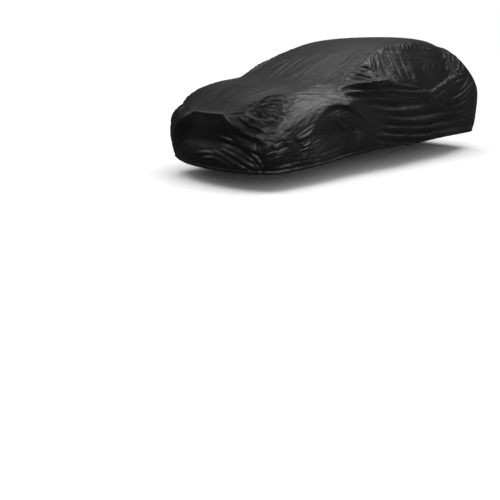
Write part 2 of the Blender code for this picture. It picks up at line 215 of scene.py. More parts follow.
EAR_FOLDS = [
    (358.0, 66.5, 370.5, 69.8, 386.0, 79.5, 13, -32),
    (354.0, 70.5, 367.0, 73.2, 385.0, 82.0, 13, -36),
    (351.0, 74.5, 364.0, 76.8, 381.0, 83.0, 13, -32),
    (347.0, 78.0, 358.0, 79.6, 372.0, 83.0, 12, -20),
    (356.0, 68.5, 368.8, 71.5, 385.5, 80.8, 11, 17),
    (352.5, 72.5, 365.5, 75.0, 383.0, 82.5, 11, 17),
    (349.0, 76.3, 361.0, 78.2, 376.0, 82.8, 11, 12),
    (341.5, 88.5, 369.2, 87.2, 391.0, 85.2, 19, -62),
    (383.3, 85.3, 400.3, 87.6, 424.0, 90.4, 16, -32),
    (336.0, 91.5, 360.0, 92.8, 386.7, 91.4, 24, 22),
    (386.7, 91.0, 403.3, 92.4, 424.7, 94.0, 18, 9),
    (343.0, 97.0, 356.7, 96.0, 382.0, 95.4, 18, -13),
]  # fmt: skip
SIDE_FOLDS = [
    (370.8, 55.0, 374.8, 66.0, 380.0, 77.0, 15, -14),
    (388.0, 72.0, 389.2, 76.0, 390.0, 80.4, 14, 13),
    (395.0, 74.5, 398.0, 79.5, 400.8, 83.5, 14, 13),
    (397.0, 52.0, 406.5, 69.5, 417.5, 85.0, 14, 8),
    (411.0, 73.4, 416.5, 80.5, 421.5, 87.0, 16, 15),
    (444.2, 62.0, 448.3, 70.8, 450.8, 76.0, 15, -10),
    (448.5, 51.7, 450.0, 62.5, 452.5, 76.0, 17, 12),
    (452.0, 52.5, 453.5, 63.0, 456.0, 72.0, 14, -10),
    (455.0, 54.2, 458.8, 62.5, 456.7, 73.5, 17, 11),
    (443.3, 48.5, 444.0, 53.0, 444.6, 57.7, 15, -15),
    (427.5, 96.5, 436.5, 89.0, 447.0, 81.5, 15, 6),
    (443.0, 83.0, 451.7, 77.5, 464.5, 73.8, 15, 6),
    (429.2, 99.5, 439.2, 93.0, 451.0, 84.8, 18, -13),
    (449.0, 85.5, 456.7, 80.0, 466.0, 76.8, 15, -9),
    (366.0, 103.4, 398.3, 106.2, 428.0, 101.7, 26, -24),
    (376.0, 110.0, 406.7, 110.8, 444.2, 103.3, 24, 11),
    (388.0, 115.1, 415.0, 115.8, 440.0, 110.8, 24, -19),
    (381.7, 120.2, 419.2, 119.9, 460.8, 110.0, 25, 24),
    (382.0, 124.0, 415.0, 124.4, 448.3, 118.5, 22, -21),
    (381.0, 127.8, 415.0, 128.1, 465.0, 120.6, 24, 26),
    (380.0, 131.6, 410.8, 132.0, 444.2, 127.3, 20, -22),
    (377.5, 135.2, 408.3, 136.2, 470.0, 127.0, 27, 40),
    (375.8, 139.6, 406.7, 140.2, 440.0, 134.6, 22, -24),
    (376.7, 143.8, 398.3, 143.4, 435.8, 137.5, 22, 24),
]  # fmt: skip
TOP_FOLDS = [
    (252.0, 76.0, 275.0, 65.0, 300.0, 54.0, 45, 5),
    (280.0, 80.0, 310.0, 66.0, 335.0, 52.0, 55, 5),
    (310.0, 82.0, 340.0, 66.0, 362.0, 50.0, 45, 6),
    (347.0, 71.0, 357.0, 60.0, 371.0, 48.0, 34, -6),
    (343.0, 76.0, 359.0, 63.5, 371.5, 50.0, 13, -9),
    (338.0, 73.0, 350.0, 60.0, 364.0, 48.0, 30, 4),
    (290.0, 82.0, 320.0, 80.0, 352.0, 77.0, 26, 7),
    (205.0, 86.0, 225.0, 81.0, 245.0, 77.0, 20, 7),
    (258.0, 84.0, 277.0, 70.0, 299.0, 54.0, 24, 6),
    (268.0, 84.0, 288.0, 69.0, 311.0, 53.0, 22, -5),
    (292.0, 83.0, 311.0, 68.0, 334.0, 53.0, 24, 6),
    (318.0, 81.0, 336.0, 67.0, 356.0, 51.0, 22, -5),
]  # fmt: skip

FOLD_TABLES = [  # and whether the hidden side has the folds too
    (NOSE_FOLDS, False),
    (CORNER_FOLDS, True),
    (EAR_FOLDS, True),
    (SIDE_FOLDS, True),
    (TOP_FOLDS, False),
]
FOLD_POINTS = 13  # of the line that stands for a fold

# The cross section of a fold and the wandering of its line, in shares of its width, and how its
# height swells along it and varies.
FOLD = {
    "crest": 1.1, "steep": 1.6, "dip": 0.28, "dip_at": 1.9, "dip_width": 0.8, "reach": 4,
    "wander": 0.35, "wander_pitch": 5,
    "end": 0.01, "swell": 0.6, "varies": 0.3, "varying_pitch": 0.25,
}  # fmt: skip

# A fan is a family of like folds between a first and a last one, each from one pixel to another,
# with their number, width and height in millimetres, and how far they bow, as a share of their
# length.
FANS = [
    (297.0, 136.5, 319.0, 119.5, 299.0, 152.8, 315.0, 140.0, 8, 12, 9, 0.05),
    (333.0, 118.0, 350.0, 140.0, 351.0, 108.5, 367.0, 124.0, 5, 18, 9, -0.05),
    (356.0, 70.5, 370.0, 71.0, 356.0, 80.0, 379.0, 81.0, 6, 10, 4, 0.06),
    (370.5, 54.0, 379.5, 79.0, 385.5, 44.5, 403.0, 84.0, 6, 13, -15, 0.03),
    (388.0, 44.0, 406.0, 84.5, 403.0, 49.0, 423.0, 88.0, 5, 12, -9, 0.03),
    (376.0, 51.0, 384.0, 79.0, 396.0, 46.0, 414.0, 86.0, 5, 10, 5, 0.02),
    (386.0, 43.5, 389.0, 50.0, 428.0, 46.0, 431.0, 51.5, 12, 13, 4, 0.05),
    (374.0, 116.5, 440.0, 115.0, 372.0, 147.0, 440.0, 136.5, 6, 17, 3, 0.03),
    (195.0, 107.0, 240.0, 86.0, 242.0, 106.0, 330.0, 82.0, 7, 34, 3, 0.03),
    (300.0, 86.0, 344.0, 83.5, 292.0, 96.0, 340.0, 98.0, 6, 16, 4, -0.05),
    (446.0, 64.0, 452.0, 79.0, 462.0, 62.0, 463.0, 75.0, 5, 11, 6, 0.05),
    (176.0, 150.0, 186.0, 133.0, 178.0, 158.0, 200.0, 153.0, 5, 17, 17, 0.05),
    (449.5, 99.0, 471.5, 75.5, 441.0, 115.0, 475.0, 102.0, 6, 13, 19, 0.04),
    (454.0, 118.0, 475.0, 108.0, 458.0, 127.0, 474.0, 121.0, 3, 15, 18, 0.04),
    (300.0, 158.0, 345.0, 146.0, 300.0, 166.0, 350.0, 153.0, 4, 15, 6, 0.04),
    (428.0, 58.0, 423.0, 86.0, 446.0, 56.0, 437.0, 83.0, 4, 19, 4, 0.08),
]  # fmt: skip

# How far the folds of a fan stray: in their places, as a share of the step between them, at their
# ends and in their bow, as shares of their length, and in what their width and height are times.
FAN_CHANCE = {
    "seed": 4, "place": 0.3, "ends": (-0.1, 0.15), "bow": 0.02,
    "width": (0.7, 1.3), "height": (0.5, 1.3),
}  # fmt: skip

# Fine creases fill a patch: its middle and its reach in metres, the pixels that they run between,
# how long and how wide they are, and how high, in millimetres.
PATCHES = [
    (277.0, 108.0, 0.19, 260.0, 109.0, 294.0, 105.0, 90, 32, 9),
    (258.0, 124.0, 0.16, 248.0, 118.0, 268.0, 129.0, 90, 32, 6),
    (275.0, 143.0, 0.20, 264.0, 146.0, 288.0, 140.0, 100, 30, 7),
    (276.0, 160.0, 0.19, 264.0, 166.0, 290.0, 152.0, 110, 30, 8),
    (303.0, 118.0, 0.30, 292.0, 126.0, 316.0, 110.0, 150, 32, 6),
    (325.0, 97.0, 0.38, 305.0, 100.0, 345.0, 93.0, 200, 36, 5),
    (366.0, 75.0, 0.18, 355.0, 74.0, 379.0, 78.0, 80, 32, 6),
    (430.0, 74.0, 0.26, 420.0, 66.0, 440.0, 84.0, 130, 40, 4),
    (455.0, 66.0, 0.26, 450.0, 54.0, 455.0, 74.0, 150, 42, 14),
    (440.0, 86.0, 0.20, 436.0, 84.0, 446.0, 88.0, 80, 36, 16),
    (455.0, 76.0, 0.20, 451.0, 74.0, 459.0, 79.0, 80, 36, 14),
    (405.0, 97.0, 0.60, 380.0, 97.0, 430.0, 96.0, 300, 48, 9),
    (415.0, 126.0, 1.20, 380.0, 127.0, 450.0, 121.0, 480, 55, 5),
    (345.0, 130.0, 0.40, 335.0, 118.0, 352.0, 142.0, 240, 48, 3.5),
    (312.0, 150.0, 0.30, 300.0, 152.0, 330.0, 140.0, 160, 36, 8),
    (190.0, 150.0, 0.26, 176.0, 156.0, 196.0, 140.0, 130, 32, 4),
    (240.0, 152.0, 0.30, 225.0, 143.0, 255.0, 160.0, 180, 28, 6),
]  # fmt: skip

# The creases of a patch.
PATCH = {
    "share": 0.5,  # of the height in the table
    "ends": 1.8, "fade": 2,  # how far out it ends, in its reaches, and how it fades
    "depth": 0.3,  # how slowly they change straight out of the cloth
    "swing": 0.5, "swing_pitch": 0.6,  # in the creases' widths and in their lengths
}  # fmt: skip
# All creased noise: how sharp its ridges are, and the finer copy that is mixed in.
CREASE = {"sharp": 2.6, "finer": 2.1, "shift": 7.3, "coarse_share": 0.7, "fine_share": 0.3}

SEAM_PUCKER = {
    "height": 6 * MM, "pitch": 0.06, "length": 0.12, "reach": 0.06, "starts": 0.012,
    "even": 0.6, "varies": 0.6, "varying_pitch": 0.5,
    "groove": 1.8 * MM, "groove_width": 0.011,
}  # fmt: skip
HEM = {
    "band": 0.035, "bulge": 7 * MM, "round": 0.6, "groove": 7 * MM, "groove_width": 0.009,
    "gather": 6 * MM, "pitch": 0.05, "upright": 0.25, "starts": 0.03, "reach": 0.11,
}  # fmt: skip
HEM_ROLL = 0.006  # radius of the hem's folded edge
HEM_TURNS = (30, 60, 90, 120, 150, 180)  # degrees
HEM_FLAP = 0.030  # how far it goes up again inside
HEM_FLAP_ROWS = (0.33, 0.66, 1.0)  # shares of that
UNEVEN = {"height": 7 * MM, "pitch": 0.42}  # the cloth's slow rise and fall, all over
# The same at a smaller size, more in some places than in others.
LIVELY = {"height": 1.2 * MM, "pitch": 0.11, "even": 0.5, "varies": 0.5, "varying_pitch": 0.6}
# Fine creases, longer than wide, and fewer on the middle of the nose and the sides' hollows.
CRINKLE = {
    "height": 1.7 * MM, "pitch": 0.046, "longer": 1.7, "bend": 0.03, "bend_pitch": 0.14,
    "even": 0.7, "varies": 0.5, "varying_pitch": 0.4,
    "nose_half": 0.42, "nose_soft": 0.1, "nose_back_soft": 0.05, "nose_calm": 0.9,
    "side_calm": 0.7,
}  # fmt: skip
FAR_SIDE = {"shift": 0.03, "pitch": 0.5}  # how far the hidden side's folds lie from the other's

# Seeds of the noise. Each patch and each fold takes the next one.
SEED = {
    "puckers": 8, "pucker_strength": 9, "patch": 20, "hem": 30, "far_side": (40, 41),
    "uneven": 50, "lively": 51, "lively_strength": 53,
    "crinkle_bend": 54, "crinkle": 55, "crinkle_strength": 57,
    "patch_swing": 60, "fold": 100, "fold_height": 103,
}  # fmt: skip
# Large odd numbers that scramble a cell's place and the seed, and the low bits that are kept.
HASH_FACTORS = (374761393, 668265263, 2147483647, 1274126177)
HASH_MIX = 1103515245
LOW_32, LOW_16 = 0xFFFFFFFF, 0xFFFF


# ---------------------------------------------------------------- lines and the form


def smooth_line(table):
    """A smooth curve through a table of two columns, as a function of the first."""
    at, value = np.array(table, float).T
    slope = np.gradient(value, at)

    def line(q):
        q = np.clip(q, at[0], at[-1])
        k = np.clip(np.searchsorted(at, q) - 1, 0, len(at) - 2)
        step = at[k + 1] - at[k]
        s = (q - at[k]) / step
        start = value[k] * (1 + 2 * s) + slope[k] * step * s
        end = value[k + 1] * (3 - 2 * s) - slope[k + 1] * step * (1 - s)
        return start * (1 - s) ** 2 + end * s**2

    return line


centre_line, nose_line, tail_line = map(smooth_line, (CENTRE_LINE, NOSE_LINE, TAIL_LINE))
plan_line, section_line = map(smooth_line, (PLAN_LINE, SECTION_LINE))


def smooth_path(points):
    """A smooth curve in space through the points, as a function of 0 to 1 along its length."""
    points = np.array(points, float)
    steps = np.linalg.norm(np.diff(points, axis=0), axis=1)
    along = np.append(0.0, np.cumsum(steps)) / steps.sum()
    lines = [smooth_line(np.column_stack([along, column])) for column in points.T]
    return lambda s: np.stack([line(s) for line in lines], axis=-1)


def smoothstep(x):
    x = np.clip(x, 0, 1)
    return x * x * (3 - 2 * x)


def field(p):
    """Below zero inside the smooth form, above zero outside it."""
    x, y, z = np.moveaxis(p, -1, 0)
    out = np.sqrt(x * x + MIDDLE_ROUND)
    lag = RAKE_SWEEP * np.exp(-(((y - RAKE_FOOT) / RAKE_REACH) ** 2))
    lag = lag + BACK_SWEEP * np.exp(-(((y - BACK_FOOT) / BACK_REACH) ** 2))
    share = smoothstep((SHOULDER["none"] - y) / (SHOULDER["none"] - SHOULDER["whole"]))
    slope = SHOULDER["drop"] * share * np.maximum(out - SHOULDER["out"], 0) ** 2
    walls = np.stack([
        TOP_LEAN * (z - centre_line(y - lag * x * x) + CROWN_DROP * x * x + slope),
        out - plan_line(y) * section_line(z),
        nose_line(z) + NOSE_SWEEP * x * x - y,
        y - tail_line(z) + TAIL_SWEEP * x * x,
    ])  # fmt: skip
    highest = walls.max(axis=0)
    return highest + EDGE_ROUND * np.log(np.exp((walls - highest) / EDGE_ROUND).sum(axis=0))


def gradient(p, step=1e-4):
    here = field(p)
    return np.stack([(field(p + step * axis) - here) / step for axis in np.eye(3)], axis=-1)


def settle(p):
    """Moves points that lie near the smooth form onto it, straight away from its heart."""
    way = p - np.clip(p, *HEART)
    for _ in range(SETTLE_ROUNDS):
        p = p - (field(p) / (gradient(p) * way).sum(axis=-1))[..., None] * way
    return p


def outward(p):
    slope = gradient(p)
    return slope / np.linalg.norm(slope, axis=-1, keepdims=True)


def inside(distance, soft=SOFT):
    """1 well inside an edge, 0 well outside it; distance is positive inside."""
    return 0.5 + 0.5 * np.tanh(distance / soft)


def seen_at(p):
    """The pixels of the photograph that points fall on."""
    d = p - EYE
    scale = FOCAL_LENGTH / (d @ AHEAD)
    across, up = scale * (d @ RIGHT), scale * (d @ UP)
    return np.stack([PHOTO_SIZE / 2 + across, PHOTO_SIZE / 2 - up], axis=-1)


def first_met(pixels):
    """Where the sight lines through the pixels meet the smooth form, or pass it most closely."""
    x, y = np.moveaxis((pixels - PHOTO_SIZE / 2) / FOCAL_LENGTH, -1, 0)
    ray = AHEAD + x[..., None] * RIGHT - y[..., None] * UP
    reach = np.arange(*SIGHT)
    depth = field(EYE + ray[..., None, :] * reach[:, None])
    met = np.where((depth < 0).any(axis=-1), (depth < 0).argmax(axis=-1), depth.argmin(axis=-1))
    return settle(EYE + ray * reach[met][..., None])


def sill_height():
    """The height of the sill below the sides' hollows, as a function of the distance back."""
    return smooth_line(first_met(np.array(SILL_PIXELS, float))[:, 1:])


sill_line = sill_height()


def pane(out, y, z):
    """1 in the hollow between the rake, the crown and the sill, 0 outside it."""
    side = SIDE_HOLLOW
    (foot_y, foot_z), (head_y, head_z) = side["foot"], side["head"]
    rake = math.atan2(head_z - foot_z, head_y - foot_y)
    below_rake = (y - foot_y) * math.sin(rake) - (z - foot_z) * math.cos(rake)
    soft = side["soft"]
    share = inside(below_rake, soft) * inside(head_z - z, soft)
    share = share * inside(z - sill_line(y), side["sill_soft"] * soft)
    return share * inside(side["back"] - y, soft) * inside(out - side["out"])


def hollows(out, y, z):
    """How far the cloth sinks between what holds it out, as a height below the smooth form."""
    nose = NOSE_HOLLOW
    (hem_z, hem_y), (top_z, top_y) = ((h, nose_line(h)) for h in (SIDE_HEM[0][2], nose["top"]))
    chord = np.interp(z, (hem_z, top_z), (hem_y, top_y))
    half = nose["half_width"] + nose["flare"] * (nose["top"] - z)
    low = (chord - nose_line(z) + nose["depth"]) * smoothstep((z - hem_z) / nose["fade"])
    soft = SOFT + nose["softer"] * np.maximum(nose["top"] - z, 0)
    low = low * inside(nose["top"] - z) * inside(half - out, soft) * inside(nose["back"] - y)
    corner = CORNER_HOLLOW
    away = [(v - c) / r for v, c, r in zip((out, y, z), corner["at"], corner["reach"])]
    low += corner["depth"] * np.exp(-sum(a * a for a in away))
    arch = ARCH_HOLLOW
    within = arch["radius"] - np.hypot(y - arch["at"][0], z - arch["at"][1])
    ending = np.clip((z - arch["ends"]) / (arch["full"] - arch["ends"]), 0, 1)
    soft = SOFT + arch["softer"] * np.maximum(y - arch["at"][0] - arch["softer_from"], 0)
    depth = arch["depth"] * (1 + arch["bowl"] * np.clip(within / arch["radius"], 0, 1))
    low += depth * ending * inside(within, soft) * inside(out - arch["out"])
    return low + SIDE_HOLLOW["depth"] * pane(out, y, z)


def ears(out, y, z):
    """The two tents where the cloth stands out at the foot of the rake."""
    back, height = EAR["at"]
    along = (y - back) / np.where(y < back, EAR["ahead"], EAR["behind"])
    upright = (z - height) / np.where(z > height, EAR["above"], EAR["below"])
    return EAR["out"] * inside(out - EAR["from"]) / (1 + along**2 + upright**2) ** EAR["fall"]


def main_relief(p):
    """The height over the smooth form that the ears and hollows give the points p of that form."""
    out, y, z = np.abs(p[..., 0]), p[..., 1], p[..., 2]
    return ears(out, y, z) - hollows(out, y, z)


# ---------------------------------------------------------------- from the photograph to the form


def cast(pixels):
    """Points of the smooth form whose places on the hollowed cloth fall on these pixels."""
    pixels = np.asarray(pixels, float)
    aim = pixels
    for _ in range(CAST_ROUNDS):
        base = first_met(aim)
        cloth = base + main_relief(base)[..., None] * outward(base)
        aim = aim + CAST_SHARE * (pixels - seen_at(cloth))
    return base


# ---------------------------------------------------------------- folds and creases


def noise(q, seed):
    """Smooth noise from -1 to 1, one cell a unit wide, the same at each run."""
    cell = np.floor(q).astype(np.int64)
    part = smoothstep(q - cell)
    total = 0.0
    for corner in product((0, 1), repeat=3):
        x, y, z = np.moveaxis(cell + corner, -1, 0)
        hashed = sum(v * factor for v, factor in zip((x, y, z, seed), HASH_FACTORS)) & LOW_32
        hashed = ((hashed ^ (hashed >> 13)) * HASH_MIX) & LOW_32
        hashed = (hashed ^ (hashed >> 16)) & LOW_16
        share = np.where(corner, part, 1 - part).prod(axis=-1)
        total = total + share * (hashed / (LOW_16 / 2) - 1)
    return total


def creased(q, seed):
    """Noise with sharp ridges and round hollows, of about -1 to 1."""
    finer = q * CREASE["finer"] + CREASE["shift"]
    coarse = 1 - CREASE["sharp"] * np.abs(noise(q, seed))
    fine = 1 - CREASE["sharp"] * np.abs(noise(finer, seed + 1))
    return CREASE["coarse_share"] * coarse + CREASE["fine_share"] * fine


def nearest(p, line):
    """How far each point is from a line of points, and how far along it that is, from 0 to 1."""
    best = np.full(p.shape[:-1], np.inf)
    along = np.zeros(p.shape[:-1])
    for k, (start, end) in enumerate(zip(line[:-1], line[1:])):
        run = end - start
        t = np.clip((p - start) @ run / (run @ run), 0, 1)
        away = np.linalg.norm(p - start - t[..., None] * run, axis=-1)
        nearer = away < best
        best = np.where(nearer, away, best)
        along = np.where(nearer, (k + t) / (len(line) - 1), along)
    return best, along


def add_fold(height, p, number, line, width, rise):
    """Adds a ridge, or a trough where rise is below zero, that fades and wanders along its line."""
    reach = FOLD["reach"] * width
    near = ((p > line.min(axis=0) - reach) & (p < line.max(axis=0) + reach)).all(axis=-1)
    if not near.any():
        return
    q = p[near]
    slow = noise(q / (FOLD["wander_pitch"] * width), SEED["fold"] + number)
    wander = FOLD["wander"] * width * slow
    away, along = nearest(q + wander[..., None], line)
    swell = np.sin(np.pi * np.clip(along, FOLD["end"], 1 - FOLD["end"])) ** FOLD["swell"]
    varying = noise(q / FOLD["varying_pitch"], SEED["fold_height"] + number)
    fade = swell * (1 + FOLD["varies"] * varying)
    from_dip = (away - FOLD["dip_at"] * width) / (FOLD["dip_width"] * width)
    dip = FOLD["dip"] * np.exp(-(from_dip**2))
    crest = FOLD["crest"] / np.cosh(FOLD["steep"] * away / width) - dip
    height[near] += rise * fade * crest


def fold_line(first, middle, last):
    """A line on the smooth form through three of its points."""
    return settle(smooth_path([first, middle, last])(np.linspace(0, 1, FOLD_POINTS)))


def placed_folds():
    """Each fold of the tables as its line, width, height and whether the hidden side has it too."""
    for table, both in FOLD_TABLES:
        rows = np.array(table, float)
        ends = cast(rows[:, :6].reshape(-1, 3, 2))
        for points, (width, rise) in zip(ends, rows[:, 6:] * MM):
            yield fold_line(*points), width, rise, both


def fanned_folds():
    """The same for the fans, each fold a little off its even place."""
    stray = FAN_CHANCE
    chance = np.random.default_rng(stray["seed"])
    rows = np.array(FANS, float)
    corners = cast(rows[:, :8].reshape(-1, 4, 2))
    for (head, foot, last_head, last_foot), (count, width, rise, bow) in zip(corners, rows[:, 8:]):
        for k in range(int(count)):
            share = (k + chance.uniform(-stray["place"], stray["place"])) / (count - 1)
            first, last = head + share * (last_head - head), foot + share * (last_foot - foot)
            run = last - first
            first = first + chance.uniform(*stray["ends"]) * run
            last = last - chance.uniform(*stray["ends"]) * run
            side = np.cross(run, outward((first + last) / 2))
            bend = bow + chance.uniform(-stray["bow"], stray["bow"])
            middle = (first + last) / 2 + bend * side
            line = fold_line(*settle(np.stack([first, middle, last])))
            wide = width * MM * chance.uniform(*stray["width"])
            high = rise * MM * chance.uniform(*stray["height"])
            yield line, wide, high, True


FOLDS = [*placed_folds(), *fanned_folds()]


def patch_frames():
    """Each patch of creases as its middle, its reach, its two directions and its sizes."""
    rows = np.array(PATCHES, float)
    middles, heads, feet = (cast(rows[:, k : k + 2]) for k in (0, 3, 5))
    for middle, head, foot, row in zip(middles, heads, feet, rows):
        run = (foot - head) / np.linalg.norm(foot - head)
        across = np.cross(outward(middle), run)
        yield middle, row[2], run, across / np.linalg.norm(across), row[7:] * MM


PATCH_FRAMES = list(patch_frames())


def add_patches(height, p):
    """Adds the patches' creases, which fade out round each patch."""
    for number, (middle, reach, run, across, (length, width, rise)) in enumerate(PATCH_FRAMES):
        away = np.linalg.norm(p - middle, axis=-1) / reach
        near = away < PATCH["ends"]
        if not near.any():
            continue
        q = p[near]
        slow = noise(q / (PATCH["swing_pitch"] * length), SEED["patch_swing"] + number)
        swing = PATCH["swing"] * width * slow
        deep = q @ np.cross(run, across) / PATCH["depth"]
        places = np.stack([q @ run / length, (q @ across + swing) / width, deep], axis=-1)
        fade = np.exp(-PATCH["fade"] * away[near] ** 4)
        height[near] += PATCH["share"] * rise * creased(places, SEED["patch"] + number) * fade


SEAM = settle(np.concatenate([
    smooth_path(FRONT_CORNER)(np.linspace(0, 1, CORNER_POINTS)),
    smooth_path(LONG_SEAM)(np.linspace(0, 1, SEAM_POINTS))[1:],
    smooth_path(BACK_CORNER)(np.linspace(0, 1, CORNER_POINTS))[1:],
]))  # fmt: skip
SEAM_LENGTH = np.linalg.norm(np.diff(SEAM, axis=0), axis=1).sum()


def puckers(p):
    """The seam's groove, and the short creases that its thread draws up on both sides of it."""
    seam = SEAM_PUCKER
    away, along = nearest(p, SEAM)
    none = np.zeros_like(away)
    along = along * SEAM_LENGTH
    places = np.stack([along / seam["pitch"], away / seam["length"], none], axis=-1)
    stretches = np.stack([along / seam["varying_pitch"], none, none], axis=-1)
    strength = seam["even"] + seam["varies"] * noise(stretches, SEED["pucker_strength"])
    drawn = seam["height"] * creased(places, SEED["puckers"]) * strength
    drawn = drawn * np.exp(-away / seam["reach"])
    groove = seam["groove"] * np.exp(-((away / seam["groove_width"]) ** 2))
    return drawn * (1 - np.exp(-((away / seam["starts"]) ** 2))) - groove


def hem_relief(p, rise):
    """The hem's band, its stitch line and the gathers above them, at a rise above the edge."""
    band = HEM["bulge"] * np.sin(np.pi * np.clip(rise / HEM["band"], 0, 1)) ** HEM["round"]
    groove = HEM["groove"] * np.exp(-(((rise - HEM["band"]) / HEM["groove_width"]) ** 2))
    level = p * [1, 1, HEM["upright"]] / HEM["pitch"]
    fade = np.exp(-rise / HEM["reach"])
    gathers = HEM["gather"] * creased(level, SEED["hem"]) * fade * smoothstep(rise / HEM["starts"])
    return band - groove + gathers


def crinkles(p):
    """Fine creases that come and go, with the nose's middle and the sides' hollows smoother."""
    out, y, z = np.abs(p[..., 0]), p[..., 1], p[..., 2]
    bend = noise(p / CRINKLE["bend_pitch"], SEED["crinkle_bend"])[..., None]
    bent = p + CRINKLE["bend"] * bend
    fine = creased(bent / [1, CRINKLE["longer"], 1] / CRINKLE["pitch"], SEED["crinkle"])
    nose = inside(CRINKLE["nose_half"] - out, CRINKLE["nose_soft"])
    nose = nose * inside(NOSE_HOLLOW["back"] - y, CRINKLE["nose_back_soft"])
    calm = (1 - CRINKLE["nose_calm"] * nose) * (1 - CRINKLE["side_calm"] * pane(out, y, z))
    varying = noise(p / CRINKLE["varying_pitch"], SEED["crinkle_strength"])
    strength = CRINKLE["even"] + CRINKLE["varies"] * varying
    return CRINKLE["height"] * fine * strength * calm


def on_seen_side(p):
    """The points p as they are on the seen side, and the hidden side's turned onto it."""
    hidden = p[..., 0] <= 0
    turned = np.where(hidden[..., None], p * [-1, 1, 1], p)
    shifts = [noise(p / FAR_SIDE["pitch"], seed) for seed in SEED["far_side"]]
    turned[..., 1:] += hidden[..., None] * FAR_SIDE["shift"] * np.stack(shifts, axis=-1)
    return turned


def relief(p, rise):
    """How far the cloth lies above the smooth form at the points p of that form."""
    turned = on_seen_side(p)
    height = main_relief(p)
    for number, (line, width, size, both) in enumerate(FOLDS):
        add_fold(height, turned if both else p, number, line, width, size)
    add_patches(height, turned)
    height += UNEVEN["height"] * noise(p / UNEVEN["pitch"], SEED["uneven"])
    varying = noise(p / LIVELY["varying_pitch"], SEED["lively_strength"])
    strength = LIVELY["even"] + LIVELY["varies"] * varying
    height += LIVELY["height"] * creased(p / LIVELY["pitch"], SEED["lively"]) * strength
    height += crinkles(p)
    return height + puckers(turned) + hem_relief(p, rise)


# ---------------------------------------------------------------- the panels

front_corner, long_seam, back_corner = map(smooth_path, (FRONT_CORNER, LONG_SEAM, BACK_CORNER))
side_hem = smooth_path(SIDE_HEM)
nose_middle, crown_middle = map(smooth_path, (NOSE_MIDDLE, DECK_AND_CROWN_MIDDLE))
tail_middle = smooth_path(TAIL_MIDDLE)

LENGTH_STATIONS = np.linspace(0, 1, LENGTH_CUTS + 1)
HEIGHT_STATIONS = np.linspace(0, 1, HEIGHT_CUTS + 1)
STRIP_STATIONS = np.concatenate(
    [1 - HEIGHT_STATIONS[::-1], 1 + LENGTH_STATIONS[1:], 2 + HEIGHT_STATIONS[1:]]
)


def side_target(u, w):
    """Near the cloth of a side: u from front to back, w from the seam down to the hem."""
    u, w = u[..., None], w[..., None]
    top, bottom = long_seam(u[..., 0]), side_hem(u[..., 0])
    front, back = front_corner(1 - w[..., 0]), back_corner(w[..., 0])
    corners = (1 - u) * ((1 - w) * long_seam(0.0) + w * side_hem(0.0))
    corners = corners + u * ((1 - w) * long_seam(1.0) + w * side_hem(1.0))
    return (1 - w) * top + w * bottom + (1 - u) * front + u * back - corners


def three_runs(v, *paths):
    """One path after another, for v from 0 to the number of paths."""
    stretch = np.clip(np.floor(v), 0, len(paths) - 1)
    found = [path(np.clip(v - k, 0, 1)) for k, path in enumerate(paths)]
    return sum(np.where((stretch == k)[..., None], run, 0.0) for k, run in enumerate(found))


def strip_target(v, s):
    """Near the cloth of the strip: v from front hem to back hem, s from -1 to 1 across it."""
    seam = three_runs(v, front_corner, long_seam, back_corner)
    middle = three_runs(v, nose_middle, crown_middle, tail_middle)
    target = middle + (seam - middle) * (s * s)[..., None]
    target[..., 0] = seam[..., 0] * s
    return target


def up_from_first_row(cloth):
    """How far each point of a grid lies from its first row, along its column."""
    steps = np.linalg.norm(np.diff(cloth, axis=0), axis=-1)
    return np.concatenate([np.zeros((1, cloth.shape[1])), np.cumsum(steps, axis=0)])


def rolled_hem(cloth, normal):
    """Rows that fold the cloth's first row under and up again, innermost first."""
    edge, above, out = cloth[0], cloth[1], normal[0]
    down = edge - above
    down -= (down * out).sum(axis=-1, keepdims=True) * out
    down /= np.linalg.norm(down, axis=-1, keepdims=True)
    turns = [math.radians(turn) for turn in HEM_TURNS]
    roll = [edge - HEM_ROLL * ((1 - math.cos(a)) * out - math.sin(a) * down) for a in turns]
    flap = [roll[-1] - share * HEM_FLAP * down for share in HEM_FLAP_ROWS]
    return np.stack([*flap[::-1], *roll[::-1]])


def side_cloth(side):
    """The points of a side, 1 or -1, from the hem up to the seam, with the hem folded under."""
    w, u = np.meshgrid(HEIGHT_STATIONS[::-1], LENGTH_STATIONS, indexing="ij")
    base = settle(side_target(u, w)) * [side, 1, 1]
    normal = outward(base)
    cloth = base + relief(base, up_from_first_row(base))[..., None] * normal
    return np.concatenate([rolled_hem(cloth, normal), cloth])


def strip_cloth():
    """The same for the strip, from the front hem to the back hem."""
    v, s = np.meshgrid(STRIP_STATIONS, np.linspace(-1, 1, STRIP_CUTS + 1), indexing="ij")
    base = settle(strip_target(v, s))
    normal = outward(base)
    rise = np.minimum(up_from_first_row(base), up_from_first_row(base[::-1])[::-1])
    cloth = base + relief(base, rise)[..., None] * normal
    tail_hem = rolled_hem(cloth[::-1], normal[::-1])[::-1]
    return np.concatenate([rolled_hem(cloth, normal), cloth, tail_hem])


